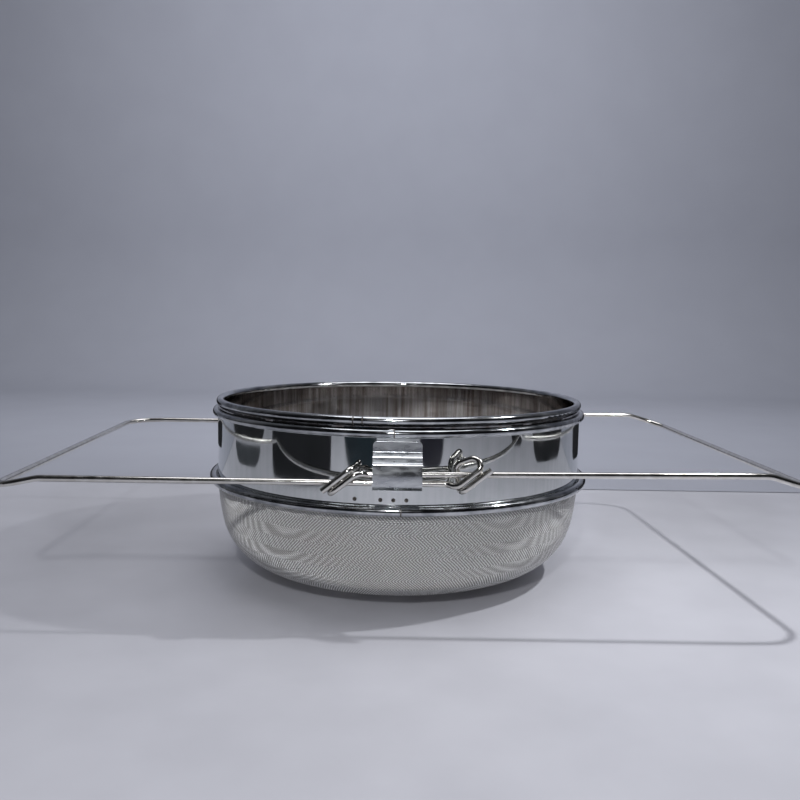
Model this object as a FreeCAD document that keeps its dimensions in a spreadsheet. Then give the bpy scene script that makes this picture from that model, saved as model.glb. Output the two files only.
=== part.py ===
"""Double sieve strainer: a coarse sieve that nests in a fine one, carried by two sliding wire arms.

Millimetres, +Z up. The origin is the middle of the fine bowl's flat bottom, which rests on Z = 0, and both
sieves are round about Z. The arms lie along X and are guided by two clips on the band, one at -Y (front)
and one at +Y (rear).
"""
import FreeCAD, Part
import math
import os
import Sketcher

Vector = FreeCAD.Vector
DOC = FreeCAD.newDocument("double_sieve_strainer")

# ---- driving dimensions --------------------------------------------------------------------------------

SIZES = [
    # lower sieve
    ("band_radius", 118.3, "outside of the lower band"),
    ("sheet", 0.6, "thickness of the rolled steel sheet"),
    ("hem_height", 63.3, "height of the seam between the fine mesh and the band"),
    ("band_height", 41.9, "from that seam up to the middle of the lower rim"),
    ("rim_shift", 0.8, "how far the lower rim's middle stands outside the band"),
    ("band_bite", 0.8, "how far the lower band reaches up past the middle of its rim"),
    ("flange_reach", 1.9, "how far the sheets' edges stand out from the band inside the hem"),
    ("rim_roll", 2.33, "outer radius of a rolled rim's section"),
    ("roll_wall", 0.5, "thickness of the strip that a rim or hem is rolled from"),
    ("hem_roll", 2.7, "outer radius of the rolled hem's section"),
    ("core_slack", 0.02, "room round a core wire inside its roll"),
    # fine mesh bowl: three arcs that run into each other, from the flat bottom up to the hem
    ("mesh_wall", 0.6, "thickness of the fine woven mesh"),
    ("floor_arc", 162.0, "radius of the bowl's gently curved floor"),
    ("floor_turn", 15.3, "degrees that the floor arc turns"),
    ("corner_arc", 40.2, "radius of the bowl's lower corner"),
    ("corner_turn", 61.8, "degrees that the corner arc turns"),
    # upper sieve
    ("nest_gap", 2.1, "radial room between the two bands"),
    ("seat_gap", 0.05, "height of the seat lip above the very top of the lower rim"),
    ("lip_inset", 1.1, "how far the folded seat lip's edge stays inside the lower rim's middle"),
    ("lip_gap", 0.59, "room between the seat lip and the upper rim"),
    ("upper_rim_shift", 1.2, "how far the upper rim's middle stands outside the upper band"),
    ("upper_depth", 31.7, "from the upper rim's middle down to the coarse mesh's seam"),
    ("upper_band_bite", 0.2, "how far the upper band reaches up past the middle of its rim"),
    ("coarse_wall", 1.0, "thickness of the coarse woven mesh"),
    ("upper_flange", 2.0, "how far the upper band's foot and the mesh's edge turn in past the mesh"),
    ("upper_hem_room", 0.4, "room between the folded upper hem and the mesh that it grips"),
    ("dish_skirt", 3.0, "height of the dish's upright edge"),
    ("dish_depth", 28.0, "depth of the coarse mesh below its seam"),
    ("dish_floor_arc", 200.0, "radius of the dish's gently curved floor"),
    ("dish_floor_turn", 8.0, "degrees that the dish's floor arc turns"),
    ("dish_corner_arc", 18.0, "radius of the dish's corner"),
    ("dish_corner_turn", 67.0, "degrees that the dish's corner arc turns"),
    # guide clips: "room" is measured from a leg's surface to the face of the strip
    ("clip_width", 26.4, "width of a guide clip"),
    ("clip_sheet", 0.8, "thickness of a guide clip"),
    ("clip_top", 3.9, "from the rim's middle down to a clip's upper edge"),
    ("clip_corner", 2.5, "radius of a clip's two upper corners"),
    ("clip_tab_room", 6.1, "room above the higher leg, up to the end of the tab that is welded to the band"),
    ("clip_step", 2.2, "how far a clip steps out below its tab"),
    ("clip_step_drop", 1.8, "height of that step"),
    ("clip_ledge", 2.6, "how far the clip stands out from its tab where its shoulder begins"),
    ("clip_ledge_room", 3.3, "room above the higher leg, up to the same place"),
    ("clip_shoulder_room", 0.9, "room above the higher leg, up to the outer end of the shoulder"),
    ("clip_lean", 0.9, "how far the shoulder's outer end lies inside the hump"),
    ("clip_room", 1.0, "room outside the legs, out to the hump"),
    ("clip_hump_room", 1.5, "room above the lower leg, up to the hump's outermost place"),
    ("clip_chin", 0.7, "how far the hump draws back in towards its foot"),
    ("clip_chin_rise", 0.7, "height of that place over the underside of the lower leg's room"),
    ("clip_foot_room", 1.7, "room below the lower leg, down to the fold of the foot"),
    ("clip_foot_drop", 0.5, "how far the foot falls from that fold to the band"),
    # arms
    ("wire", 3.4, "diameter of the arm wire"),
    ("strand_dip", 0.4, "how far inside the band's radius a hook's inner strand runs, beside the clip"),
    ("leg_drop", 25.8, "from the lower rim's middle down to the left arm's legs"),
    ("leg_room_front", 1.3, "room between the two arms' legs at the front clip"),
    ("leg_room_rear", 4.2, "the same at the rear clip, where the right arm rides higher"),
    ("arm_tilt", 0.6, "degrees that the right arm slopes up towards its end"),
    ("left_handle", 98.7, "from the band out to the middle of the left arm's end bar"),
    ("right_handle_front", 105.7, "the same for the right arm, at its front corner"),
    ("right_handle_rear", 94.2, "the same at its rear corner"),
    ("left_drop_front", 5.4, "how far the left end bar lies below the legs, at its front corner"),
    ("left_drop_rear", 1.2, "the same at its rear corner"),
    ("right_drop", 8.0, "how far the right end bar lies below the legs"),
    ("corner_lead", 26.0, "length over which a leg bends down to its end bar"),
    ("lead_bend", 20.0, "radius of the bend where that begins"),
    ("arm_corner", 15.0, "radius of an arm's corners"),
    # hooks: "along" is along the arm's own leg, and "across" is up or down towards the other arm's leg
    ("left_hook_lead", 13.3, "from a clip's side to where the left arm's legs begin to bend into hooks"),
    ("right_hook_lead", 3.6, "the same for the right arm, on its own side"),
    ("hook_middle", 12.0, "from there along to the middle of a hook"),
    ("hook_gap", 0.5, "room between a hook and the leg that runs through it"),
    ("strand_gap", 0.35, "room between two strands of a hook that lie side by side"),
    ("hook_slope", 38.5, "degrees that a hook's strands rise across the other leg"),
    ("hook_lead", 5.0, "length along which the wire comes out to the front of the other leg"),
    ("hook_dip", 0.9, "how far it first dips away from that leg"),
    ("left_hook_over", 2.5, "how far the left arm's hooks pass the room that the other leg needs"),
    ("right_hook_over", 1.5, "the same for the right arm"),
    ("hook_tail", 15.0, "length along the leg of a hook's last strand"),
    ("curl_back", 7.0, "how far the left arm's open curl leans back along from its crest"),
    ("curl_rise", 2.6, "how far the curl rises past its crest"),
    ("curl_fall", 1.4, "how far the strand behind the leg begins below that crest"),
    # weld marks under the front clip
    ("weld_radius", 1.1, "radius of a spot weld"),
    ("weld_height", 0.25, "how far a spot weld stands out"),
    ("weld_level", 5.8, "from the hem's middle up to the row of spot welds"),
]

sheet = DOC.addObject("Spreadsheet::Sheet", "Sizes")
for row, (alias, number, note) in enumerate(SIZES, start=1):
    sheet.set(f"A{row}", note)
    sheet.set(f"B{row}", str(number))
    sheet.setAlias(f"B{row}", alias)
DOC.recompute()


class Length:
    """A number that also carries the spreadsheet expression it comes from."""

    def __init__(self, number, words):
        self.number = float(number)
        self.words = words

    @staticmethod
    def of(other):
        return other if isinstance(other, Length) else Length(other, repr(float(other)))

    def __add__(self, other):
        other = Length.of(other)
        return Length(self.number + other.number, f"({self.words} + {other.words})")

    def __sub__(self, other):
        other = Length.of(other)
        return Length(self.number - other.number, f"({self.words} - {other.words})")

    def __mul__(self, factor):
        return Length(self.number * factor, f"({self.words} * {float(factor)!r})")

    def __float__(self):
        return self.number


def size(alias):
    return Length(getattr(sheet, alias), f"Sizes.{alias}")


def bind(thing, **properties):
    """Tie properties of a document object to lengths."""
    for name, length in properties.items():
        setattr(thing, name, float(length))
        thing.setExpression(name, length.words)


def lift(thing, height):
    """Raise a primitive to a height that follows the spreadsheet."""
    thing.Placement = FreeCAD.Placement(Vector(0, 0, float(height)), FreeCAD.Rotation())
    thing.setExpression("Placement.Base.z", height.words)


# ---- heights and radii that the sub-parts share ----------------------------------------------------------

SHEET = size("sheet")
BAND_OUT = size("band_radius")
BAND_IN = BAND_OUT - SHEET
HEM_Z = size("hem_height")
RIM_Z = HEM_Z + size("band_height")
RIM_R = BAND_OUT + size("rim_shift")
ROLL = size("rim_roll")
ROLL_IN = ROLL - size("roll_wall")
HEM_R = BAND_OUT + size("hem_roll")
HEM_ROLL_IN = size("hem_roll") - size("roll_wall")
FLANGE_OUT = BAND_OUT + size("flange_reach")

UPPER_OUT = BAND_IN - size("nest_gap")
UPPER_IN = UPPER_OUT - SHEET
LIP_Z = RIM_Z + ROLL + size("seat_gap")
LIP_TOP = LIP_Z + SHEET * 2
LIP_R = RIM_R - size("lip_inset")
UPPER_RIM_Z = LIP_TOP + size("lip_gap") + ROLL
UPPER_RIM_R = UPPER_OUT + size("upper_rim_shift")
UPPER_HEM_Z = UPPER_RIM_Z - size("upper_depth")
FLANGE_IN = UPPER_OUT - size("coarse_wall") - size("upper_flange")

# a hook's inner strand, the other arm's leg and its room lie between the band and the middle of the legs
LEG_Y = BAND_OUT + size("wire") * 1.5 + size("hook_gap") - size("strand_dip")
LEG_Z = RIM_Z - size("leg_drop")

OVERCUT = 0.1  # how far a cutting shape runs past the surface that it opens
parts = {}


def keep(label, thing):
    """Give a finished sub-part the label that names its file."""
    thing.Label = label
    parts[label] = thing
    return thing


# ---- sketched rings ------------------------------------------------------------------------------------


def plane_of(body, role):
    for feature in body.Origin.OriginFeatures:
        if feature.Role == role:
            return feature
    raise RuntimeError("no origin plane " + role)


def new_sketch(body, name):
    """An empty sketch in the body's XZ plane: its first axis is the radius, its second the height."""
    sketch = body.newObject("Sketcher::SketchObject", name)
    sketch.AttachmentSupport = [(plane_of(body, "XZ_Plane"), "")]
    sketch.MapMode = "FlatFace"
    return sketch


def pin(sketch, geometry, point, radius, height, name):
    """Hold one point of a sketch at a radius and a height from the spreadsheet."""
    for axis, length in (("X", radius), ("Y", height)):
        label = f"{name}_{axis}"
        sketch.addConstraint(
            Sketcher.Constraint("Distance" + axis, -1, 1, geometry, point, float(length)))
        sketch.renameConstraint(sketch.ConstraintCount - 1, label)
        sketch.setExpression("Constraints." + label, length.words)


def outline_sketch(body, name, corners):
    """A closed outline of straight lines, each corner pinned to the spreadsheet."""
    sketch = new_sketch(body, name)
    spots = [Vector(float(radius), float(height), 0) for radius, height in corners]
    count = len(spots)
    for index in range(count):
        sketch.addGeometry(Part.LineSegment(spots[index], spots[(index + 1) % count]), False)
    for index in range(count):
        sketch.addConstraint(Sketcher.Constraint("Coincident", index, 2, (index + 1) % count, 1))
    for index, (radius, height) in enumerate(corners):
        pin(sketch, index, 1, radius, height, f"corner{index}")
    return sketch


def circles_sketch(body, name, centre, radii):
    """Circles about one centre: two of them make a rolled strip's hollow section."""
    sketch = new_sketch(body, name)
    for index, radius in enumerate(radii):
        spot = Vector(float(centre[0]), float(centre[1]), 0)
        sketch.addGeometry(Part.Circle(spot, Vector(0, 0, 1), float(radius)), False)
        pin(sketch, index, 3, centre[0], centre[1], f"centre{index}")
        sketch.addConstraint(Sketcher.Constraint("Radius", index, float(radius)))
        sketch.renameConstraint(sketch.ConstraintCount - 1, f"roll{index}")
        sketch.setExpression(f"Constraints.roll{index}", radius.words)
    return sketch


def turn(body, kind, sketch, name):
    """Revolve a sketch a full turn about Z, adding (Revolution) or cutting (Groove)."""
    feature = body.newObject("PartDesign::" + kind, name)
    feature.Profile = sketch
    feature.ReferenceAxis = (sketch, ["V_Axis"])
    feature.Angle = 360.0
    DOC.recompute()
    return feature


def ring(label, corners):
    """A sheet ring revolved from an outline of pinned corners."""
    body = DOC.addObject("PartDesign::Body", label)
    turn(body, "Revolution", outline_sketch(body, label + "_outline", corners), label + "_turned")
    return keep(label, body)


def rolled_channel(label, centre, roll, inner, slots):
    """A strip rolled into a hollow bead, slotted where the sheets that it grips come in."""
    body = DOC.addObject("PartDesign::Body", label)
    turn(body, "Revolution", circles_sketch(body, label + "_section", centre, (roll, inner)), label + "_rolled")
    for number, (low, high) in enumerate(slots):
        before = body.Shape.Volume
        corners = [(low[0], low[1]), (high[0], low[1]), (high[0], high[1]), (low[0], high[1])]
        slot = outline_sketch(body, f"{label}_slot{number}", corners)
        turn(body, "Groove", slot, f"{label}_slotted{number}")
        if body.Shape.Volume >= before - 1.0:
            raise RuntimeError(label + ": a slot cuts nothing")
    return keep(label, body)


def core_wire(label, radius, section, height):
    """The round wire that stiffens a rolled bead."""
    hoop = DOC.addObject("Part::Torus", label)
    bind(hoop, Radius1=radius, Radius2=section)
    lift(hoop, height)
    return keep(label, hoop)


# The lower band is a cylinder with its foot turned out into the hem.
BAND_TOP = RIM_Z + size("band_bite")
ring("lower_band", [
    (BAND_IN, HEM_Z),
    (FLANGE_OUT, HEM_Z),
    (FLANGE_OUT, HEM_Z + SHEET),
    (BAND_OUT, HEM_Z + SHEET),
    (BAND_OUT, BAND_TOP),
    (BAND_IN, BAND_TOP),
])

# The upper band has a folded lip under its rim, and the lip sits on the lower rim. Its foot turns inwards.
UPPER_TOP = UPPER_RIM_Z + size("upper_band_bite")
ring("upper_band", [
    (FLANGE_IN, UPPER_HEM_Z),
    (UPPER_OUT, UPPER_HEM_Z),
    (UPPER_OUT, LIP_Z),
    (LIP_R - SHEET * 0.5, LIP_Z),
    (LIP_R, LIP_Z + SHEET * 0.5),
    (LIP_R, LIP_TOP - SHEET * 0.5),
    (LIP_R - SHEET * 0.5, LIP_TOP),
    (UPPER_OUT, LIP_TOP),
    (UPPER_OUT, UPPER_TOP),
    (UPPER_IN, UPPER_TOP),
    (UPPER_IN, UPPER_HEM_Z + SHEET),
    (FLANGE_IN, UPPER_HEM_Z + SHEET),
])

# Rolled beads. A slot is given by its lower inner and upper outer corner.
rolled_channel("lower_rim_channel", (RIM_R, RIM_Z), ROLL, ROLL_IN, [
    ((BAND_IN, RIM_Z - ROLL - OVERCUT), (BAND_OUT, RIM_Z)),
])
rolled_channel("hem_channel", (HEM_R, HEM_Z), size("hem_roll"), HEM_ROLL_IN, [
    ((BAND_OUT - OVERCUT, HEM_Z - size("mesh_wall")), (HEM_R, HEM_Z + SHEET)),
])
rolled_channel("upper_rim_channel", (UPPER_RIM_R, UPPER_RIM_Z), ROLL, ROLL_IN, [
    ((UPPER_IN, UPPER_RIM_Z - ROLL - OVERCUT), (UPPER_OUT, UPPER_TOP)),
])

# The upper hem is a strip folded flat over the upper band's foot and the coarse mesh's edge.
FOLD_IN = FLANGE_IN - size("roll_wall")
FOLD_OUT = FLANGE_IN + size("upper_flange") - size("upper_hem_room")
GRIP_TOP = UPPER_HEM_Z + SHEET
GRIP_FOOT = UPPER_HEM_Z - size("coarse_wall")
ring("upper_hem_channel", [
    (FOLD_IN, GRIP_FOOT - size("roll_wall")),
    (FOLD_OUT, GRIP_FOOT - size("roll_wall")),
    (FOLD_OUT, GRIP_FOOT),
    (FLANGE_IN, GRIP_FOOT),
    (FLANGE_IN, GRIP_TOP),
    (FOLD_OUT, GRIP_TOP),
    (FOLD_OUT, GRIP_TOP + size("roll_wall")),
    (FOLD_IN, GRIP_TOP + size("roll_wall")),
])

# Core wires fill the room between a band's face and the inside of its roll.
for label, middle, height, face, inner in (
    ("lower_rim_wire", RIM_R, RIM_Z, BAND_OUT, ROLL_IN),
    ("upper_rim_wire", UPPER_RIM_R, UPPER_RIM_Z, UPPER_OUT, ROLL_IN),
    ("hem_wire", HEM_R, HEM_Z, FLANGE_OUT, HEM_ROLL_IN),
):
    room = (middle + inner - face) * 0.5
    core_wire(label, face + room, room - size("core_slack"), height)


# ---- woven bowls ---------------------------------------------------------------------------------------


def turned_feature(label, outline):
    """A Part feature revolved a full turn about Z from a closed outline of edges."""
    face = Part.Face(Part.Wire(outline))
    feature = DOC.addObject("Part::Feature", label)
    feature.Shape = face.revolve(Vector(0, 0, 0), Vector(0, 0, 1), 360)
    feature.Placement = FreeCAD.Placement()
    return keep(label, feature)


def arc_edge(centre, radius, start, stop):
    """An arc in the XZ plane, whose angles are counted from straight down towards +X."""
    spots = []
    for angle in (start, (start + stop) / 2, stop):
        spots.append(Vector(centre[0] + radius * math.sin(angle), 0, centre[1] - radius * math.cos(angle)))
    return Part.Arc(*spots).toShape()


def bowl_arcs(top_radius, bottom_z, top_z, floor, floor_turn, corner, corner_turn):
    """Centres, radii and angles of the floor, corner and side arcs of a bowl's outer face.

    Each arc starts where the last ends, in the same direction, and the side arc reaches the top radius
    upright, so its own radius follows from the depth.
    """
    first = math.radians(floor_turn)
    second = first + math.radians(corner_turn)
    risen = floor * (1 - math.cos(first)) + corner * (math.cos(first) - math.cos(second))
    depth_left = top_z - bottom_z - risen
    side = depth_left / math.cos(second)
    side_centre = (top_radius - side, top_z)
    step = side - corner
    corner_centre = (side_centre[0] + step * math.sin(second), side_centre[1] - step * math.cos(second))
    step = floor - corner
    floor_centre = (corner_centre[0] - step * math.sin(first), corner_centre[1] + step * math.cos(first))
    return [
        (floor_centre, floor, 0.0, first),
        (corner_centre, corner, first, second),
        (side_centre, side, second, math.pi / 2),
    ]


def bowl_outline(arcs, wall, bottom_z, rim):
    """Edges of a bowl's section: bottom, outer arcs, rim corners, inner arcs and the axis."""
    flat = arcs[0][0][0]
    edges = [Part.LineSegment(Vector(0, 0, bottom_z), Vector(flat, 0, bottom_z)).toShape()]
    edges += [arc_edge(*arc) for arc in arcs]
    centre, radius = arcs[-1][0], arcs[-1][1]
    spots = [Vector(centre[0] + radius, 0, centre[1])]
    spots += [Vector(radius_out, 0, height) for radius_out, height in rim]
    spots.append(Vector(centre[0] + radius - wall, 0, centre[1]))
    for start, stop in zip(spots, spots[1:]):
        edges.append(Part.LineSegment(start, stop).toShape())
    for centre, radius, start, stop in reversed(arcs):
        edges.append(arc_edge(centre, radius - wall, stop, start))
    inner = bottom_z + wall
    edges.append(Part.LineSegment(Vector(flat, 0, inner), Vector(0, 0, inner)).toShape())
    edges.append(Part.LineSegment(Vector(0, 0, inner), Vector(0, 0, bottom_z)).toShape())
    return edges


# The fine bowl's edge turns out into the hem, under the band's foot.
mesh = sheet.mesh_wall
mesh_top = float(HEM_Z) - mesh
fine_arcs = bowl_arcs(float(BAND_OUT), 0.0, mesh_top, sheet.floor_arc, sheet.floor_turn,
                      sheet.corner_arc, sheet.corner_turn)
turned_feature("fine_mesh_bowl", bowl_outline(fine_arcs, mesh, 0.0, [
    (float(FLANGE_OUT), mesh_top),
    (float(FLANGE_OUT), float(HEM_Z)),
    (float(BAND_OUT) - mesh, float(HEM_Z)),
]))

# The coarse dish's edge turns in under the upper band's foot, and the upper hem grips the two.
dish_top = float(UPPER_HEM_Z)
dish_arcs = bowl_arcs(float(UPPER_OUT), dish_top - sheet.dish_depth, dish_top - sheet.dish_skirt,
                      sheet.dish_floor_arc, sheet.dish_floor_turn,
                      sheet.dish_corner_arc, sheet.dish_corner_turn)
turned_feature("coarse_mesh_dish", bowl_outline(
    dish_arcs, sheet.coarse_wall, dish_top - sheet.dish_depth, [
        (float(UPPER_OUT), dish_top),
        (float(FLANGE_IN), dish_top),
        (float(FLANGE_IN), dish_top - sheet.coarse_wall),
        (float(UPPER_OUT) - sheet.coarse_wall, dish_top - sheet.coarse_wall),
    ]))


# ---- bent lines: runs joined by arcs ---------------------------------------------------------------------


def rounded_path(points, radii):
    """A wire of straight runs through the points, with an arc of each radius at the inner points."""
    edges = []
    start = points[0]
    for before, corner, after, radius in zip(points, points[1:], points[2:], radii):
        back = (before - corner).normalize()
        ahead = (after - corner).normalize()
        half = back.getAngle(ahead) / 2
        tangent = radius / math.tan(half)
        bisector = (back + ahead).normalize()
        middle = corner + bisector * (radius / math.sin(half) - radius)
        enter = corner + back * tangent
        leave = corner + ahead * tangent
        if (enter - start).dot(corner - before) <= 0:
            raise RuntimeError("an arc of radius %.1f has no room" % radius)
        edges.append(Part.LineSegment(start, enter).toShape())
        edges.append(Part.Arc(enter, middle, leave).toShape())
        start = leave
    edges.append(Part.LineSegment(start, points[-1]).toShape())
    return Part.Wire(edges)


# ---- guide clips -----------------------------------------------------------------------------------------


# bend radii of a clip's middle line, from the end of its tab to its foot
CLIP_FOLDS = (1.2, 1.0, 1.2, 1.6, 14.0, 2.2, 1.4)
FOOT_BURIED = 1.0  # how far a foot is drawn into the band before it is fitted to it


def clip_shape(side):
    """A folded strip that spans both wires: a welded tab, two outward steps, a hump and a returning foot.

    side is -1 for the front clip and +1 for the rear one.
    """
    thick = sheet.clip_sheet
    clear = (sheet.wire + thick) / 2
    radius = float(BAND_OUT)
    leg = float(LEG_Y)
    over = float(LEG_Z) + sheet.wire + sheet.leg_room_rear + clear
    under = float(LEG_Z) - clear
    top = float(RIM_Z) - sheet.clip_top
    back = radius + thick / 2
    tab_end = over + sheet.clip_tab_room
    hump = leg + clear + sheet.clip_room
    fold = under - sheet.clip_foot_room
    profile = [
        (back, top - thick / 2),
        (back, tab_end),
        (back + sheet.clip_step, tab_end - sheet.clip_step_drop),
        (back + sheet.clip_ledge, over + sheet.clip_ledge_room),
        (hump - sheet.clip_lean, over + sheet.clip_shoulder_room),
        (hump, float(LEG_Z) + clear + sheet.clip_hump_room),
        (hump - sheet.clip_chin, under + sheet.clip_chin_rise),
        (leg - sheet.clip_chin, fold),
        (radius - FOOT_BURIED, fold - sheet.clip_foot_drop),
    ]
    points = [Vector(0, side * reach, height) for reach, height in profile]
    path = rounded_path(points, CLIP_FOLDS)
    section = path.makeOffset2D(thick / 2, 0, True, False, False)
    half = sheet.clip_width / 2
    strip = section.extrude(Vector(2 * half, 0, 0))
    strip.translate(Vector(-half, 0, 0))
    # the two upper corners are rounded off, and the back is fitted to the band
    depth = 6 * thick
    reach = sheet.clip_corner
    for edge_x in (-half, half):
        inward = -1 if edge_x > 0 else 1
        block = Part.makeBox(reach, depth, reach + thick, Vector(min(edge_x, edge_x + inward * reach),
                             side * back - depth / 2, top - reach))
        post = Part.makeCylinder(reach, 2 * depth, Vector(edge_x + inward * reach, side * back - depth,
                                 top - reach), Vector(0, 1, 0))
        strip = strip.cut(block.cut(post))
    barrel = Part.makeCylinder(radius, float(RIM_Z))
    return strip.cut(barrel)


for label, side in (("front_clip", -1), ("rear_clip", 1)):
    clip = DOC.addObject("Part::Feature", label)
    clip.Shape = clip_shape(side)
    clip.Placement = FreeCAD.Placement()
    keep(label, clip)


# ---- spot welds under the front clip -----------------------------------------------------------------------

WELD_SPOTS = (-23.0, -9.0, -2.0, 5.0)  # X of each spot
WELD_ROOT = 0.3  # how deep a spot is drawn into the band before it is fitted to it

weld_shapes = []
for along in WELD_SPOTS:
    lean = math.asin(along / float(BAND_OUT))
    outward = Vector(math.sin(lean), -math.cos(lean), 0)
    foot = outward * (float(BAND_OUT) - WELD_ROOT) + Vector(0, 0, float(HEM_Z) + sheet.weld_level)
    disc = Part.makeCylinder(sheet.weld_radius, WELD_ROOT + sheet.weld_height, foot, outward)
    weld_shapes.append(disc.cut(Part.makeCylinder(float(BAND_OUT), float(RIM_Z))))
welds = DOC.addObject("Part::Feature", "band_spot_welds")
welds.Shape = Part.makeCompound(weld_shapes)
welds.Placement = FreeCAD.Placement()
keep("band_spot_welds", welds)


# ---- arms ------------------------------------------------------------------------------------------------


LEAD_RADIUS = 4.0  # bend where a leg turns out into its hook
CREST_RADIUS = 5.0  # bend at the top of the strand in front
CURL_RADII = (4.0, 4.5, 4.5)  # bends of the open curl, from over the leg to behind it
UNDER_SHORT = (1.6, 0.2)  # how far, along and across, the strand behind ends short of the one in front
TURN_EASE = 0.2  # how much tighter a hook's turns are than half the room that it spans
CURL_UNDER = 0.2  # how far back along the open curl's last turn lies from the first strand
TAIL_FOOT = 0.6  # how far along the tail strand begins past the strand beside it


def hook_points(gap, open_curl):
    """Points of a hook and their bend radii, from the leg to the cut end.

    Each point is (along, across, out): along the leg from where the hook starts, across towards the other
    arm's leg, which is gap away, and out from the strainer. The wire goes over the front of that leg,
    round behind it, under and up the front once more.
    """
    stand = sheet.wire + sheet.hook_gap
    pitch = sheet.wire + sheet.strand_gap
    slope = math.radians(sheet.hook_slope)
    rise = math.tan(slope)
    first = (sheet.hook_lead, -sheet.hook_dip)
    beside = (first[0] + pitch * math.sin(slope), first[1] - pitch * math.cos(slope))
    turn_radius = stand - TURN_EASE
    far = gap + stand + (sheet.left_hook_over if open_curl else sheet.right_hook_over)
    crest = (first[0] + (far - first[1]) / rise, far)
    foot = (beside[0] + TAIL_FOOT, beside[1] + TAIL_FOOT * rise)
    tail = sheet.hook_tail
    points = [
        (0.0, 0.0, 0.0),
        (first[0], first[1], stand),
        (crest[0], crest[1], stand),
    ]
    radii = [LEAD_RADIUS, CREST_RADIUS]
    if open_curl:
        points += [
            (crest[0] - sheet.curl_back, far + sheet.curl_rise, 0.0),
            (first[0] - CURL_UNDER, far - sheet.curl_fall, -stand),
        ]
        radii += CURL_RADII
    else:
        points.append((crest[0], crest[1], -stand))
        radii += [turn_radius, turn_radius]
    points += [
        (foot[0] - UNDER_SHORT[0], foot[1] - UNDER_SHORT[1], -stand),
        (foot[0], foot[1], stand),
        (foot[0] + tail, foot[1] + tail * rise, stand),
    ]
    radii += [turn_radius, turn_radius]
    return points, radii


def arm_wire(start, heading, climb, leg_heights, gaps, tilt, corners, open_curl):
    """Centre line of an arm: front hook, front leg, end bar, rear leg and rear hook.

    start is where the hooks begin and heading the X direction that they point in. climb is +1 where the
    hooks reach up to the other leg. corners holds (reach, drop) for the front and the rear corner.
    """
    slope = math.tan(math.radians(tilt))
    leg = float(LEG_Y)
    halves = []
    for side, height, gap, (reach, drop) in zip((-1, 1), leg_heights, gaps, corners):
        local, radii = hook_points(gap, open_curl)
        origin = Vector(heading * start, side * leg, height + slope * heading * start)
        hook = []
        for along, across, out in local:
            hook.append(origin + Vector(heading * along, side * out, climb * across))
        bend_x = -heading * (reach - sheet.corner_lead)
        end_x = -heading * reach
        bend = Vector(bend_x, side * leg, height + slope * bend_x)
        corner = Vector(end_x, side * leg, height + slope * end_x - drop)
        halves.append((list(reversed(hook)) + [bend, corner],
                       list(reversed(radii)) + [sheet.lead_bend, sheet.arm_corner]))
    front, rear = halves
    points = front[0] + list(reversed(rear[0]))
    radii = front[1] + list(reversed(rear[1]))
    return rounded_path(points, radii)


def sweep_round(path, diameter):
    """A round bar of one diameter along a path of runs and tangent arcs."""
    start = path.Edges[0].valueAt(path.Edges[0].FirstParameter)
    ahead = path.Edges[0].tangentAt(path.Edges[0].FirstParameter)
    section = Part.Wire(Part.makeCircle(diameter / 2, start, ahead))
    bar = path.makePipeShell([section], True, False)
    expected = math.pi * diameter ** 2 / 4 * path.Length
    if abs(bar.Volume / expected - 1) > 0.01:
        raise RuntimeError("a swept bar has the wrong volume")
    return bar


def add_arm(label, path):
    arm = DOC.addObject("Part::Feature", label)
    arm.Shape = sweep_round(path, sheet.wire)
    arm.Placement = FreeCAD.Placement()
    return keep(label, arm)


leg_z = float(LEG_Z)
band_out = float(BAND_OUT)
tilt_rate = math.tan(math.radians(sheet.arm_tilt))
left_start = sheet.clip_width / 2 + sheet.left_hook_lead
right_start = sheet.clip_width / 2 + sheet.right_hook_lead
leg_gaps = (sheet.wire + sheet.leg_room_front, sheet.wire + sheet.leg_room_rear)
# the right arm slopes, so each arm's distance to the other is taken where its own hooks are
left_gaps = [gap + tilt_rate * (left_start + sheet.hook_middle) for gap in leg_gaps]
right_gaps = [gap - tilt_rate * right_start for gap in leg_gaps]
left_reach = band_out + sheet.left_handle

add_arm("left_arm", arm_wire(
    start=left_start, heading=1, climb=1, leg_heights=(leg_z, leg_z), gaps=left_gaps, tilt=0.0,
    corners=((left_reach, sheet.left_drop_front), (left_reach, sheet.left_drop_rear)),
    open_curl=True))
add_arm("right_arm", arm_wire(
    start=right_start, heading=-1, climb=-1,
    leg_heights=[leg_z + gap for gap in leg_gaps], gaps=right_gaps, tilt=sheet.arm_tilt,
    corners=((band_out + sheet.right_handle_front, sheet.right_drop),
             (band_out + sheet.right_handle_rear, sheet.right_drop)),
    open_curl=False))

# ---- checks and files ------------------------------------------------------------------------------------

DOC.recompute()
for thing in DOC.Objects:
    if {"Invalid", "Error"} & set(thing.State):
        raise RuntimeError(f"{thing.Label} did not build: {thing.State}")
os.makedirs("parts", exist_ok=True)
for label, thing in parts.items():
    shape = thing.Shape
    if shape.isNull() or not shape.isValid():
        raise RuntimeError(label + " has no valid shape")
    shape.exportStep(f"parts/{label}.step")
    box = shape.BoundBox
    print(f"{label:20s} {len(shape.Solids)} solid  X {box.XMin:7.1f} {box.XMax:7.1f}"
          f"  Y {box.YMin:7.1f} {box.YMax:7.1f}  Z {box.ZMin:6.1f} {box.ZMax:6.1f}  {shape.Volume:9.0f} mm3")
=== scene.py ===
# %% [markdown]
# # Double sieve strainer
# A coarse sieve sits inside a finer one, and two bent wire arms slide through clips on the band so that
# the pair can span a bucket. The sheet, rolls, clips and wires come from the CAD frame with their true
# shapes, so this script gives them steel, weaves both meshes out of real wire, adds the small joints where
# rolled strips meet, and sets a plain studio round them.

# %% Load the frame
import math

import bmesh
import bpy
import numpy as np
from mathutils import Matrix, Vector


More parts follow.
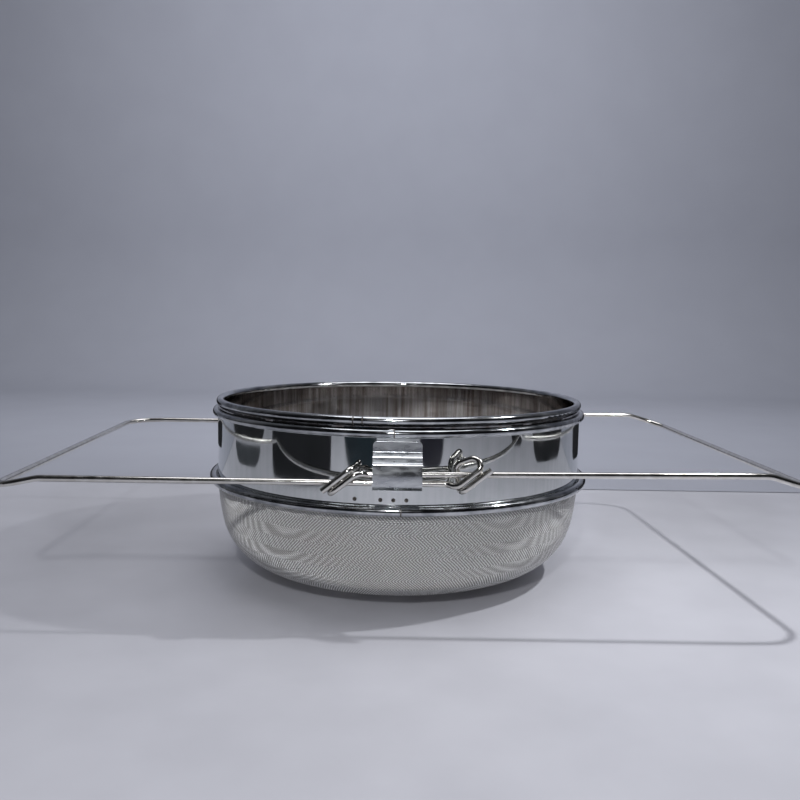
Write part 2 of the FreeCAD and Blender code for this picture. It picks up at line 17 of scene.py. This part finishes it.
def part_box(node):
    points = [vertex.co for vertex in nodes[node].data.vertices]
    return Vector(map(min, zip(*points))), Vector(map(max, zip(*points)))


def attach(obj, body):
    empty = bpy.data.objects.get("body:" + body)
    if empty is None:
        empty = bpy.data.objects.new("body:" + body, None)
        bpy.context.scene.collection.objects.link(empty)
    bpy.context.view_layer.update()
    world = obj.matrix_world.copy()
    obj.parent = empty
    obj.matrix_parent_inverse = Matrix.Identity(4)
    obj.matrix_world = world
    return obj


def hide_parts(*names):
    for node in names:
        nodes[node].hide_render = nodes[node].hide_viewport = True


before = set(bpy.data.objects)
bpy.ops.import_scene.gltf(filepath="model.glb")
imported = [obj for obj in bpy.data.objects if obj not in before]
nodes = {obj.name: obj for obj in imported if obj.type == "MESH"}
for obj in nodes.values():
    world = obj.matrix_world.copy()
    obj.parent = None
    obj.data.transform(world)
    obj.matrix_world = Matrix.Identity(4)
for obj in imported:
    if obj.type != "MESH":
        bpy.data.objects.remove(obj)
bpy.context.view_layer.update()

MM = 0.001
LOWER, UPPER = "lower_sieve", "upper_sieve"

# %% [markdown]
# ## Helpers for colour and nodes
# Colours are picked as sRGB hex values, the way a screen shows them, but shaders work in linear light, so
# one function turns them. Every material is a node tree, and one more function adds a node, sets what it
# is told and makes its links, which keeps each recipe readable. The others are the steps that most of the
# finishes here share: noise of a real size, a range spread wider, two colours mixed, and bump.

# %% Colour and node helpers


def linear(code):
    """An sRGB hex colour as linear RGBA."""
    channels = [int(code[at:at + 2], 16) / 255 for at in (1, 3, 5)]
    return [c / 12.92 if c <= 0.04045 else ((c + 0.055) / 1.055) ** 2.4 for c in channels] + [1.0]


def add_node(tree, kind, inputs=None, **settings):
    """A node with its settings. An input is given as a value, or as the socket that feeds it."""
    made = tree.nodes.new("ShaderNode" + kind)
    for name, value in settings.items():
        setattr(made, name, value)
    for name, value in (inputs or {}).items():
        if isinstance(value, bpy.types.NodeSocket):
            tree.links.new(value, made.inputs[name])
        else:
            made.inputs[name].default_value = value
    return made


def start_material(name):
    """A new material, its tree, its main shader and the piece's own coordinates, in metres."""
    material = bpy.data.materials.new(name)
    material.use_nodes = True
    tree = material.node_tree
    tree.nodes.clear()
    shader = add_node(tree, "BsdfPrincipled")
    output = add_node(tree, "OutputMaterial")
    tree.links.new(shader.outputs[0], output.inputs["Surface"])
    place = add_node(tree, "TexCoord").outputs["Object"]
    return material, tree, shader, place


def noise(tree, place, spacing, stretch=(1, 1, 1), detail=2.0):
    """Noise whose features are spacing metres apart, drawn out along the axes whose stretch is small."""
    mapped = add_node(tree, "Mapping", {"Vector": place, "Scale": stretch})
    return add_node(tree, "TexNoise", {"Vector": mapped.outputs[0], "Scale": 1 / spacing, "Detail": detail}
                    ).outputs[0]


def between(tree, factor, low, high, start=0.35, stop=0.65):
    """A factor's middle range spread over low to high."""
    return add_node(tree, "MapRange", {"Value": factor, "From Min": start, "From Max": stop,
                                       "To Min": low, "To Max": high}).outputs[0]


def two_colours(tree, factor, first, second):
    """A colour between two hex values, by a factor from 0 to 1."""
    mixed = add_node(tree, "Mix", {"Factor": factor, "A": linear(first), "B": linear(second)},
                     data_type="RGBA")
    return mixed.outputs["Result"]


def bump(tree, height, depth, under=None):
    """Bump of a depth in metres, laid over another bump where one is given."""
    inputs = {"Height": height, "Distance": depth, "Strength": 1.0}
    if under is not None:
        inputs["Normal"] = under
    return add_node(tree, "Bump", inputs).outputs[0]


def link(tree, shader, **feeds):
    """Feeds the main shader's sockets, whose names are written with _ for a space."""
    for name, socket in feeds.items():
        tree.links.new(socket, shader.inputs[name.replace("_", " ")])


def dress(material, *names):
    """Gives CAD nodes their finish. Each keeps its own mesh."""
    for name in names:
        nodes[name].data.materials.clear()
        nodes[name].data.materials.append(material)
    print(material.name, "on", ", ".join(names))


print("the screen's mid grey #808080 is", round(linear("#808080")[0], 3), "in linear light")

# %% [markdown]
# ## Polished stainless sheet
# The bands are 304 stainless sheet, cold rolled, then buffed to a mirror. A mirror has almost no colour of
# its own: it shows the room. What tells the eye that it is thin sheet and not glass is that the reflection
# wobbles, because rolling leaves ripples a few centimetres long and only hundredths of a millimetre deep,
# and that upright polishing streaks blur it a little. Both are noise, one wide and one drawn out along Z.
# The streaks are drawn 2.4 mm apart, coarser than the real ones, so that they show. The upper sieve's
# sheet is streakier, and the brown and grey that follow its streaks are painted reflections of the room.

# %% Polished sheet
RIPPLE, RIPPLE_DEPTH = 34 * MM, 0.05 * MM
STREAK = 2.4 * MM
UPRIGHT = (1, 1, 0.04)


def polished_sheet(name, streak_depth, dark, light):
    material, tree, shader, place = start_material(name)
    streaks = noise(tree, place, STREAK, UPRIGHT, detail=3.0)
    smears = noise(tree, place, 16 * MM, detail=4.0)
    ripple = bump(tree, noise(tree, place, RIPPLE, (1, 1, 0.6), detail=1.0), RIPPLE_DEPTH)
    shader.inputs["Metallic"].default_value = 1.0
    # The two colours follow the streaks: on the upper band their brown and grey are painted reflections.
    link(tree, shader, Base_Color=two_colours(tree, between(tree, streaks, 0, 1), dark, light),
         Roughness=between(tree, smears, 0.03, 0.10, 0.3, 0.75),
         Normal=bump(tree, streaks, streak_depth, ripple))
    return material


dress(polished_sheet("polished_stainless_sheet", 0.0003 * MM, "#DFE3E2", "#EAECEC"), "lower_band")
# Painted reflections: the upper band's brown and grey streaks stand in for the room it reflects.
dress(polished_sheet("stainless_sheet_with_painted_reflections", 0.0014 * MM, "#9D948F", "#DADADB"), "upper_band")

# %% [markdown]
# ## Rolled strip
# The rims and hems are thin strips rolled round a wire. Rolling leaves fine lines along the strip, so the
# highlight on a bead is a long clean streak with soft dark edges. Lines round the ring would need polar
# coordinates, but noise that is fine in Z and broad in X and Y gives the same lines on a level ring. They
# are drawn 0.5 mm apart, coarser than the real ones.

# %% Rolled strip


def rolled_strip():
    material, tree, shader, place = start_material("rolled_stainless_strip")
    lines = noise(tree, place, 0.5 * MM, (0.02, 0.02, 1), detail=2.0)
    smears = noise(tree, place, 11 * MM, detail=3.0)
    shader.inputs["Metallic"].default_value = 1.0
    link(tree, shader, Base_Color=two_colours(tree, between(tree, smears, 0, 1), "#94979A", "#CCCED0"),
         Roughness=between(tree, smears, 0.07, 0.17),
         Normal=bump(tree, lines, 0.004 * MM))
    return material


dress(rolled_strip(), "lower_rim_channel", "upper_rim_channel", "hem_channel", "upper_hem_channel")

# %% [markdown]
# ## Satin strip of the clips
# The clips are stamped from mill finish strip that was never buffed. Its grain runs along the strip's
# width, so noise is drawn out along X, and it is rough enough to blur the room into soft bands.

# %% Satin strip


def satin_strip():
    material, tree, shader, place = start_material("satin_stainless_strip")
    grain = noise(tree, place, 0.35 * MM, (0.03, 1, 1), detail=3.0)
    scuffs = noise(tree, place, 3.5 * MM, (0.3, 1, 1), detail=5.0)
    shader.inputs["Metallic"].default_value = 1.0
    link(tree, shader, Base_Color=two_colours(tree, between(tree, scuffs, 0, 1), "#A2A5A9", "#CDD0D2"),
         Roughness=between(tree, scuffs, 0.22, 0.38),
         Normal=bump(tree, grain, 0.006 * MM))
    return material


dress(satin_strip(), "front_clip", "rear_clip")

# %% [markdown]
# ## Drawn wire
# The arms are 3.4 mm stainless wire pulled through a die and tumbled bright. It is shinier than the clips
# but carries small rubs where it slides, so its roughness changes every few millimetres. The core wires
# inside the beads have the same finish.

# %% Drawn wire


def drawn_wire():
    material, tree, shader, place = start_material("drawn_stainless_wire")
    rubs = noise(tree, place, 5 * MM, detail=5.0)
    pits = noise(tree, place, 0.8 * MM, detail=2.0)
    shader.inputs["Metallic"].default_value = 1.0
    link(tree, shader, Base_Color=two_colours(tree, between(tree, rubs, 0, 1), "#CBC8C1", "#DFDDD9"),
         Roughness=between(tree, rubs, 0.13, 0.21),
         Normal=bump(tree, pits, 0.0015 * MM))
    return material


dress(drawn_wire(), "left_arm", "right_arm", "lower_rim_wire", "upper_rim_wire", "hem_wire")

# %% [markdown]
# ## Woven wire cloth
# Sieve cloth is annealed wire with a grey, slightly matt skin, which is why it is less than fully metallic
# here, and handling leaves it duller in patches. The weave itself is real geometry, made further down.
# The fine cloth also shows chevrons: where its near and far sides line up, the eye sees slanting threads
# of light, whose direction turns over from one level to the next. They belong to the two layers together,
# so no single wire can make them. The material paints them in as a painted sheen, a lighter and a darker
# grey, slanted by the angle round the bowl plus a zigzag in height. The threads are 1.8 mm apart and a
# level is 7 mm high.

# %% Woven cloth
CHEVRON_STEP, CHEVRON_LEVEL, CHEVRON_STRAY = 1.8 * MM, 7 * MM, 1.2 * MM
BOWL_REACH = 110 * MM


def chevrons(tree, place):
    """Painted sheen: slanting lines round the bowl, from -1 to 1, that turn over at each level."""
    parts = add_node(tree, "SeparateXYZ", {"Vector": place}).outputs
    back = add_node(tree, "Math", {0: parts["Y"], 1: -1.0}, operation="MULTIPLY").outputs[0]
    angle = add_node(tree, "Math", {0: parts["X"], 1: back}, operation="ARCTAN2").outputs[0]
    around = add_node(tree, "Math", {0: angle, 1: BOWL_REACH}, operation="MULTIPLY").outputs[0]
    zigzag = add_node(tree, "Math", {0: parts["Z"], 1: CHEVRON_LEVEL}, operation="PINGPONG").outputs[0]
    slanted = add_node(tree, "Math", {0: around, 1: zigzag}, operation="ADD").outputs[0]
    stray = noise(tree, place, 14 * MM, detail=2.0)
    moved = add_node(tree, "Math", {0: stray, 1: CHEVRON_STRAY, 2: slanted},
                     operation="MULTIPLY_ADD").outputs[0]
    turns = add_node(tree, "Math", {0: moved, 1: math.tau / CHEVRON_STEP}, operation="MULTIPLY").outputs[0]
    return add_node(tree, "Math", {0: turns}, operation="SINE").outputs[0]


def cloth_wire(name, dark, light, slanted=False):
    """Wire cloth whose two greys follow the painted sheen where slanted, and duller patches where not."""
    material, tree, shader, place = start_material(name)
    grit = noise(tree, place, 1.1 * MM, detail=2.0)
    shader.inputs["Metallic"].default_value = 0.7
    if slanted:
        # painted sheen: the chevron threads of light are painted into the colour
        shade = between(tree, chevrons(tree, place), 0, 1, -0.7, 0.9)
    else:
        shade = between(tree, noise(tree, place, 24 * MM, detail=4.0), 0, 1)
    link(tree, shader, Base_Color=two_colours(tree, shade, dark, light),
         Roughness=between(tree, grit, 0.42, 0.60))
    return material


# The fine cloth's chevrons are a painted sheen; the coarse cloth's patches are its own duller tone.
fine_cloth = cloth_wire("fine_woven_stainless_cloth", "#AAA8A4", "#FFFFFE", slanted=True)
coarse_cloth = cloth_wire("coarse_woven_stainless_cloth", "#BFBBB8", "#D9D5D2")
print("cloth finishes:", fine_cloth.name, coarse_cloth.name)

# %% [markdown]
# ## Spot welds
# A resistance weld leaves a small pressed disc, burnt brown and grey round its edge.

# %% Weld metal


def weld_metal():
    material, tree, shader, place = start_material("burnt_spot_weld")
    burn = noise(tree, place, 1.2 * MM, detail=5.0)
    shader.inputs["Metallic"].default_value = 1.0
    link(tree, shader, Base_Color=two_colours(tree, between(tree, burn, 0, 1), "#2E2B29", "#8C8680"),
         Roughness=between(tree, burn, 0.3, 0.6),
         Normal=bump(tree, burn, 0.05 * MM))
    return material


weld = weld_metal()
dress(weld, "band_spot_welds")

# %% [markdown]
# ## The shape that the cloth follows
# Both meshes are flat squares of woven cloth pressed into a bowl. The weave therefore starts as a straight
# grid and bends as it goes up the sides. The CAD bowl says where the cloth lies: its outer face, read from
# the node's mesh as radius against height, is one line from the middle of the bottom up to the hem. A
# point of the flat cloth keeps its direction from the middle, and its distance is measured along that line.
# The line stops just below the bowl's upper edge, inside the hem.

# %% Read a bowl's line from its CAD node
FINE_TRIM, COARSE_TRIM, SHORTEST_STEP = 0.6 * MM, 0.1 * MM, 0.3 * MM


def bowl_line(node, top):
    """Radius and height along a CAD bowl's outer face, from the middle up to a height, by length."""
    mesh = nodes[node].data
    middle = Vector((0, 0, top))
    spots = {(0.0, round(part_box(node)[0].z, 6))}
    for face in mesh.polygons:
        if face.normal.dot(face.center - middle) > 0:
            for index in face.vertices:
                co = mesh.vertices[index].co
                if co.z <= top + 1e-6:
                    spots.add((round(co.xy.length, 5), round(co.z, 5)))
    ordered = sorted(spots, key=lambda spot: math.atan2(spot[0], top + MM - spot[1]))
    kept = [ordered[0]]
    for spot in ordered[1:]:
        if math.dist(spot, kept[-1]) > SHORTEST_STEP:
            kept.append(spot)
    radius, height = np.array(kept).T
    along = np.concatenate([[0], np.cumsum(np.hypot(np.diff(radius), np.diff(height)))])
    return along, radius, height


fine_line = bowl_line("fine_mesh_bowl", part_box("fine_mesh_bowl")[1].z - FINE_TRIM)
coarse_line = bowl_line("coarse_mesh_dish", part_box("coarse_mesh_dish")[1].z - COARSE_TRIM)
for title, line in (("fine", fine_line), ("coarse", coarse_line)):
    reach = round(line[0][-1] / MM, 1)
    print(title, "cloth reaches", reach, "mm from its middle, in", len(line[0]), "steps")

# %% [markdown]
# ## Weave the cloth
# The wires could be a bump pattern on a shell, but then light would not pass through the sieve and its
# edge would be flat. They could be a wireframe modifier on a grid, but that welds the crossings. Here each
# wire is one line of a curve object, which goes over and under by turns, and the curve's bevel gives it a
# three sided section: at half a millimetre thick nobody sees the sides. The swept ends and sides come out
# facing different ways, so doubles are merged and every face is turned outwards before the mesh is kept.
# Warp and weft are separate pieces.
# The real fine cloth has 1 mm or less from wire to wire. It is drawn 1.25 mm apart, which still reads as
# fine cloth. Each set of its wires is made in two halves, so that a piece stays under 200,000 triangles.

# %% Weaving


def three_sided(thickness):
    """A closed triangle of the area of a round wire, which a curve sweeps along itself."""
    profile = bpy.data.curves.new("wire_section", "CURVE")
    profile.dimensions = "2D"
    sides = 3
    reach = thickness / 2 * math.sqrt(math.pi / (sides / 2 * math.sin(math.tau / sides)))
    spline = profile.splines.new("POLY")
    spline.points.add(sides - 1)
    for corner, point in enumerate(spline.points):
        turn = math.tau * corner / sides
        point.co = (reach * math.cos(turn), reach * math.sin(turn), 0, 1)
    spline.use_cyclic_u = True
    section = bpy.data.objects.new("wire_section", profile)
    bpy.context.scene.collection.objects.link(section)
    return section, reach


def cloth_points(line, inset, u, v, lift):
    """Flat cloth points on the bowl: lift moves them off the cloth's middle, outwards where positive."""
    along, radius, height = line
    flat = np.hypot(u, v)
    slope_r = np.interp(flat, along[1:], np.diff(radius) / np.diff(along))
    slope_z = np.interp(flat, along[1:], np.diff(height) / np.diff(along))
    scale = np.hypot(slope_r, slope_z)
    out = lift - inset
    reach = np.interp(flat, along, radius) + out * slope_z / scale
    up = np.interp(flat, along, height) - out * slope_r / scale
    turn = np.arctan2(v, u)
    return np.stack([reach * np.cos(turn), reach * np.sin(turn), up], axis=1)


def weave(name, line, pitch, thickness, crimp, across, rows, material):
    """One set of parallel wires of a cloth: across is 0 for those along X and 1 for those along Y."""
    section, reach = three_sided(thickness)
    edge = line[0][-1]
    curve = bpy.data.curves.new(name, "CURVE")
    curve.dimensions = "3D"
    curve.bevel_mode = "OBJECT"
    curve.bevel_object = section
    curve.use_fill_caps = True
    for row in rows:
        side = (row + 0.5) * pitch
        half = math.sqrt(max(edge ** 2 - side ** 2, 0))
        steps = int(half / pitch)
        if steps < 2:
            continue
        columns = np.arange(-steps, steps)
        run = (columns + 0.5) * pitch
        run[0], run[-1] = -half, half
        over = np.where((columns + row + across) % 2 == 0, crimp, -crimp)
        still = np.full(len(run), side)
        u, v = (run, still) if across == 0 else (still, run)
        spline = curve.splines.new("POLY")
        spline.points.add(len(run) - 1)
        spots = cloth_points(line, reach + crimp, u, v, over)
        spline.points.foreach_set("co", np.column_stack([spots, np.ones(len(run))]).ravel())
        spline.use_smooth = True
    maker = bpy.data.objects.new(name + "_lines", curve)
    bpy.context.scene.collection.objects.link(maker)
    mesh = bpy.data.meshes.new_from_object(maker.evaluated_get(bpy.context.evaluated_depsgraph_get()))
    bpy.data.objects.remove(maker)
    bpy.data.objects.remove(section)
    bm = bmesh.new()
    bm.from_mesh(mesh)
    bmesh.ops.remove_doubles(bm, verts=bm.verts, dist=0.001 * MM)
    bmesh.ops.recalc_face_normals(bm, faces=bm.faces)
    metal = bm.calc_volume(signed=True)
    bm.to_mesh(mesh)
    bm.free()
    mesh.materials.clear()
    mesh.materials.append(material)
    piece = bpy.data.objects.new(name, mesh)
    bpy.context.scene.collection.objects.link(piece)
    triangles = sum(len(face.vertices) - 2 for face in mesh.polygons)
    print(name, "has", triangles, "triangles round", round(metal / MM ** 3), "mm3 of wire")
    return piece


FINE_PITCH, FINE_WIRE, FINE_CRIMP = 1.25 * MM, 0.52 * MM, 0.12 * MM
COARSE_PITCH, COARSE_WIRE, COARSE_CRIMP = 2.1 * MM, 0.7 * MM, 0.2 * MM
fine_rows = int(fine_line[0][-1] / FINE_PITCH)
coarse_rows = int(coarse_line[0][-1] / COARSE_PITCH)
for across, thread in enumerate(("warp", "weft")):
    for half, rows in (("low", range(-fine_rows, 0)), ("high", range(0, fine_rows))):
        fine = weave(f"fine_mesh_{thread}_{half}", fine_line, FINE_PITCH, FINE_WIRE, FINE_CRIMP, across,
                     rows, fine_cloth)
        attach(fine, LOWER)
        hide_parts("fine_mesh_bowl")
    coarse = weave(f"coarse_mesh_{thread}", coarse_line, COARSE_PITCH, COARSE_WIRE, COARSE_CRIMP, across,
                   range(-coarse_rows, coarse_rows), coarse_cloth)
    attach(coarse, UPPER)
    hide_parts("coarse_mesh_dish")

# %% [markdown]
# ## Where the rolled strips meet
# Each bead is a strip bent into a ring, so its two ends meet somewhere, and the press leaves a thin dark
# step there. A short collar round the bead, a few hundredths of a millimetre proud, makes that step. It is
# an arc of the bead's section, spun a fraction of a degree about the strainer's axis, and it takes the
# burnt metal of the welds, which is dark enough to read as a gap.

# %% Seams of the beads
SEAM_WIDTH, SEAM_PROUD, SEAM_STEPS = 0.7 * MM, 0.05 * MM, 14
SEAM_FROM, SEAM_TO = math.radians(-110), math.radians(62)


def bead_of(node):
    """Radius of the ring, its middle height and the roll's own radius, from a rolled CAD node."""
    low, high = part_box(node)
    roll = (high.z - low.z) / 2
    return high.x - roll, (high.z + low.z) / 2, roll


def seam(name, node, along_x, body):
    """A collar on the front of a bead, round its section from SEAM_FROM below level to SEAM_TO above."""
    ring, level, roll = bead_of(node)
    reach = roll + SEAM_PROUD
    bm = bmesh.new()
    for step in range(SEAM_STEPS + 1):
        turn = SEAM_FROM + (SEAM_TO - SEAM_FROM) * step / SEAM_STEPS
        bm.verts.new((0, -(ring + reach * math.cos(turn)), level + reach * math.sin(turn)))
    bm.verts.ensure_lookup_table()
    for first, second in zip(bm.verts[:-1], bm.verts[1:]):
        bm.edges.new((first, second))
    swing = SEAM_WIDTH / ring
    start = math.asin(along_x / ring) - swing / 2
    bmesh.ops.rotate(bm, verts=bm.verts, cent=(0, 0, 0), matrix=Matrix.Rotation(start, 3, "Z"))
    bmesh.ops.spin(bm, geom=bm.verts[:] + bm.edges[:], cent=(0, 0, 0), axis=(0, 0, 1), angle=swing, steps=3)
    bmesh.ops.recalc_face_normals(bm, faces=bm.faces)
    bmesh.ops.solidify(bm, geom=bm.faces[:], thickness=1.6 * SEAM_PROUD)
    bmesh.ops.recalc_face_normals(bm, faces=bm.faces)
    mesh = bpy.data.meshes.new(name)
    bm.to_mesh(mesh)
    bm.free()
    mesh.materials.append(weld)
    piece = bpy.data.objects.new(name, mesh)
    bpy.context.scene.collection.objects.link(piece)
    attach(piece, body)
    return piece


SEAMS = (
    ("upper_rim_seam_left", "upper_rim_channel", -24 * MM, UPPER),
    ("upper_rim_seam_right", "upper_rim_channel", -19 * MM, UPPER),
    ("lower_rim_seam", "lower_rim_channel", -2 * MM, LOWER),
    ("hem_seam", "hem_channel", 2 * MM, LOWER),
)
for name, node, along_x, body in SEAMS:
    made = seam(name, node, along_x, body)
    print(name, [round(x / MM, 1) for x in made.dimensions])

# %% [markdown]
# ## Floor and backdrop
# A pale satin laminate tabletop runs out to a matt grey card, which lies on the table behind the strainer
# and curves up well clear of it, so that the strainer can be looked at from every side.

# %% Stage


def stage_piece(name, bm, material):
    """A bmesh kept as a piece of the studio, which is not a part of the strainer."""
    mesh = bpy.data.meshes.new(name)
    bm.to_mesh(mesh)
    bm.free()
    mesh.materials.append(material)
    piece = bpy.data.objects.new(name, mesh)
    bpy.context.scene.collection.objects.link(piece)
    return piece


def plain_surface(name, dark, light, roughness, spacing):
    """A surface of one plain colour with a faint mottle, whose patches are spacing apart."""
    material, tree, shader, place = start_material(name)
    mottle = noise(tree, place, spacing, detail=3.0)
    shader.inputs["Roughness"].default_value = roughness
    shader.inputs["Specular IOR Level"].default_value = 0.3
    link(tree, shader, Base_Color=two_colours(tree, between(tree, mottle, 0, 1), dark, light))
    return material


table = plain_surface("pale_laminate_tabletop", "#B9B9BF", "#BFBFC5", 0.36, 60 * MM)
backdrop = plain_surface("grey_backdrop_card", "#9B9DA6", "#9D9FA8", 0.8, 90 * MM)

HALF_WIDTH = 3.0
bm = bmesh.new()
bmesh.ops.create_grid(bm, x_segments=1, y_segments=1, size=HALF_WIDTH)
stage_piece("tabletop", bm, table)

CARD_FRONT, SWEEP_START, SWEEP_RADIUS, SWEEP_TOP = 0.255, 1.15, 0.35, 1.8
CARD_LIFT, SWEEP_STEPS = 0.5 * MM, 12
bm = bmesh.new()
outline = [(CARD_FRONT, CARD_LIFT), (SWEEP_START, CARD_LIFT)]
for step in range(1, SWEEP_STEPS + 1):
    turn = math.pi / 2 * step / SWEEP_STEPS
    outline.append((SWEEP_START + SWEEP_RADIUS * math.sin(turn), SWEEP_RADIUS * (1 - math.cos(turn))))
outline.append((SWEEP_START + SWEEP_RADIUS, SWEEP_TOP))
spots = [bm.verts.new((-HALF_WIDTH, y, z)) for y, z in outline]
edges = [bm.edges.new(pair) for pair in zip(spots, spots[1:])]
made = bmesh.ops.extrude_edge_only(bm, edges=edges)["geom"]
bmesh.ops.translate(bm, verts=[g for g in made if isinstance(g, bmesh.types.BMVert)],
                    vec=(2 * HALF_WIDTH, 0, 0))
for face in bm.faces:
    face.smooth = True
stage_piece("backdrop", bm, backdrop)
print("table", 2 * HALF_WIDTH, "m square, backdrop", SWEEP_TOP, "m high")

# %% [markdown]
# ## What a mirror sees
# A polished band looks like metal only if it has something dark to reflect. Studios stand black flags
# round such a subject, out of sight. These are rounded cards that only reflections can see: they throw no
# shadow and stay out of every view. Each is given by its direction from the strainer, counted
# from the front towards +X, its width, the heights of its lower and upper edge, and how much it narrows
# towards its foot. One more dark card lies flat beyond them, where the beads look level across the table.

# %% Flags
FLAG_DISTANCE, FLAG_CORNER = 0.45, 0.018


def flag_card(name, colour):
    material, tree, shader, place = start_material(name)
    wear = noise(tree, place, 70 * MM, detail=2.0)
    shader.inputs["Roughness"].default_value = 0.8
    link(tree, shader, Base_Color=two_colours(tree, wear, colour, "#0B0C0F"))
    return material


def glossy_only(card):
    """Leaves a card to reflections alone."""
    card.visible_camera = False
    card.visible_diffuse = False
    card.visible_shadow = False


def flag(number, bearing, width, low, high, taper, material):
    """An upright card. taper is how much narrower its foot is, as a share of its width."""
    bm = bmesh.new()
    bmesh.ops.create_grid(bm, x_segments=1, y_segments=1, size=0.5)
    bmesh.ops.scale(bm, verts=[v for v in bm.verts if v.co.y < 0], vec=(1 - taper, 1, 1))
    bmesh.ops.scale(bm, verts=bm.verts, vec=(width, high - low, 1))
    bmesh.ops.bevel(bm, geom=bm.verts[:], affect="VERTICES", offset=FLAG_CORNER, segments=6, profile=0.5,
                    material=-1)
    bmesh.ops.rotate(bm, verts=bm.verts, matrix=Matrix.Rotation(math.radians(90), 3, "X"))
    bmesh.ops.translate(bm, verts=bm.verts, vec=(0, -FLAG_DISTANCE, (low + high) / 2))
    bmesh.ops.rotate(bm, verts=bm.verts, matrix=Matrix.Rotation(math.radians(bearing), 3, "Z"))
    glossy_only(stage_piece(f"flag_{number}", bm, material))


black = flag_card("black_flag", "#15171B")
teal = flag_card("teal_flag", "#12303A")
violet = flag_card("violet_flag", "#1D1B2E")
grey = flag_card("grey_flag", "#5C6064")
FLAGS = (
    (-93, 0.360, 0.038, 0.120, 0.35, black),
    (-93, 0.220, 0.012, 0.034, 0.30, grey),
    (-53, 0.310, 0.003, 0.120, 0.05, black),
    (-19, 0.200, 0.020, 0.120, 0.50, teal),
    (17, 0.130, 0.026, 0.120, 0.35, violet),
    (66, 0.090, 0.042, 0.120, 0.3, black),
    (92, 0.340, 0.022, 0.120, 0.45, black),
    (138, 0.240, 0.012, 0.120, 0.2, black),
    (178, 0.160, 0.030, 0.120, 0.2, teal),
    (-142, 0.240, 0.018, 0.120, 0.2, black),
)
for number, (bearing, width, low, high, taper, material) in enumerate(FLAGS, start=1):
    flag(number, bearing, width, low, high, taper, material)

NEAR_EDGE, FAR_EDGE = -0.82, -2.9
bm = bmesh.new()
bmesh.ops.create_grid(bm, x_segments=1, y_segments=1, size=0.5)
bmesh.ops.scale(bm, verts=bm.verts, vec=(2 * HALF_WIDTH, NEAR_EDGE - FAR_EDGE, 1))
bmesh.ops.translate(bm, verts=bm.verts, vec=(0, (NEAR_EDGE + FAR_EDGE) / 2, MM))
glossy_only(stage_piece("dark_floor_card", bm, black))
print("flags", len(FLAGS))

# %% [markdown]
# ## Light
# One small lamp stands close by on the right and throws the wide soft shadow of the bands and the thin
# lines of the arms. A larger one hangs in front, a wide panel overhead fills the shadows, and one more
# panel lights the backdrop. The sky is an even pale grey, except in reflections, which find it dark in
# front and pale behind: that leaves the beads almost black between their highlights.

# %% Lamps and sky


def lamp(name, spot, target, size, watts, colour):
    """A round area lamp that points at its target and isn't seen itself."""
    data = bpy.data.lights.new(name, "AREA")
    data.shape = "DISK"
    data.size = size
    data.energy = watts
    data.color = linear(colour)[:3]
    made = bpy.data.objects.new(name, data)
    made.location = spot
    made.rotation_mode = "QUATERNION"
    made.rotation_quaternion = (Vector(target) - Vector(spot)).to_track_quat("-Z", "Y")
    made.visible_camera = False
    bpy.context.scene.collection.objects.link(made)
    print(name, watts, "W")


MIDDLE = (0, 0, 0.06)
lamp("side_lamp", (0.25, -0.08, 0.34), (0.0, -0.05, 0.0), 0.015, 0.8, "#FBFCFF")
lamp("front_lamp", (-0.05, -0.80, 0.50), MIDDLE, 0.05, 2.4, "#FBFCFF")
lamp("overhead_panel", (0.0, 0.1, 1.5), MIDDLE, 1.2, 9.0, "#F9FAFF")
lamp("backdrop_lamp", (0.0, 0.62, 0.95), (0.0, 1.5, 0.4), 1.3, 8.5, "#F7F9FF")

world = bpy.data.worlds.new("studio_sky")
world.use_nodes = True
bpy.context.scene.world = world
tree = world.node_tree
tree.nodes.clear()
direction = add_node(tree, "TexCoord").outputs["Generated"]
heading = add_node(tree, "SeparateXYZ", {"Vector": direction}).outputs
lean = add_node(tree, "Math", {0: heading["Z"], 1: 0.2, 2: heading["Y"]},
                operation="MULTIPLY_ADD").outputs[0]
factor = add_node(tree, "MapRange", {"Value": lean, "From Min": -0.1, "From Max": 0.9}).outputs[0]
mirrored = add_node(tree, "Mix", {"Factor": factor, "A": linear("#1D1E21"), "B": linear("#9A9CA3")},
                    data_type="RGBA").outputs["Result"]
glossy = add_node(tree, "LightPath").outputs["Is Glossy Ray"]
sky = add_node(tree, "Mix", {"Factor": glossy, "A": linear("#A2A4AB"), "B": mirrored},
               data_type="RGBA").outputs["Result"]
glow = add_node(tree, "Background", {"Color": sky, "Strength": 0.62})
tree.links.new(glow.outputs[0], add_node(tree, "OutputWorld").inputs["Surface"])

# %% [markdown]
# ## Camera
# The camera looks along +Y from just above the rim, tipped down a little and rolled by less than a degree.

# %% Camera
camera = bpy.data.cameras.new("camera")
camera.sensor_width = 36
camera.lens = 39.25
viewer = bpy.data.objects.new("camera", camera)
viewer.location = (0.00075, -0.5793, 0.17085)
PITCH, ROLL = math.radians(5.88), math.radians(0.88)
tipped, rolled = Matrix.Rotation(math.pi / 2 - PITCH, 3, "X"), Matrix.Rotation(ROLL, 3, "Z")
viewer.rotation_euler = (tipped @ rolled).to_euler()
bpy.context.scene.collection.objects.link(viewer)
bpy.context.scene.camera = viewer
bpy.context.scene.view_settings.view_transform = "Standard"
print("camera", camera.lens, "mm lens,", round(viewer.location.length, 3), "m away")
